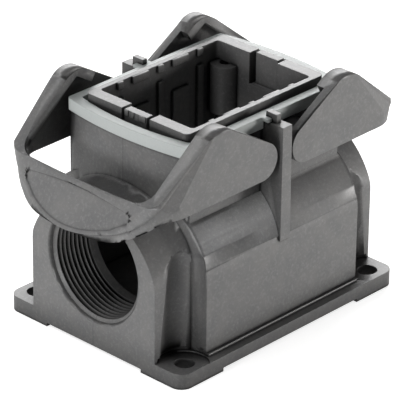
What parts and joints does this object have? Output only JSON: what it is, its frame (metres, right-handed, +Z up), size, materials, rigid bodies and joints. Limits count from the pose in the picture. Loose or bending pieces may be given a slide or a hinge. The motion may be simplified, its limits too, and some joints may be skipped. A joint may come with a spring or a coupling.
{
  "type": "heavy duty rectangular connector",
  "caption": "Surface-mounting housing of a heavy duty rectangular connector with a threaded side entry, a hood seal, snap tabs and locking levers over each end, standing open.",
  "frame": {"origin": "centre of the base, on the surface that the housing is screwed to", "axes": "+X along the housing's length with the threaded cable entry facing -X, +Z up through the insert well, +Y across"},
  "size_m": [0.1048, 0.064, 0.0665],
  "materials": {
    "housing_plastic": "moulded, glass-filled, soft sheen",
    "lever_plastic": "moulded, glass-filled, soft sheen",
    "seal_rubber": "matt light grey rubber"
  },
  "bodies": {
    "housing": {"housing": "housing_plastic", "hood_seal": "seal_rubber"},
    "entry_lever": {"entry_lever": "lever_plastic"},
    "rear_lever": {"rear_lever": "lever_plastic"}
  },
  "joints": [
    {"name": "entry_lever_pivot", "type": "hinge", "parent": "housing", "child": "entry_lever", "pos_m": [-0.0082, 0, 0.0522], "axis": [0, 1, 0], "range_deg": [0, 58]},
    {"name": "rear_lever_pivot", "type": "hinge", "parent": "housing", "child": "rear_lever", "pos_m": [0.0082, 0, 0.0522], "axis": [0, -1, 0], "range_deg": [0, 58]}
  ]
}
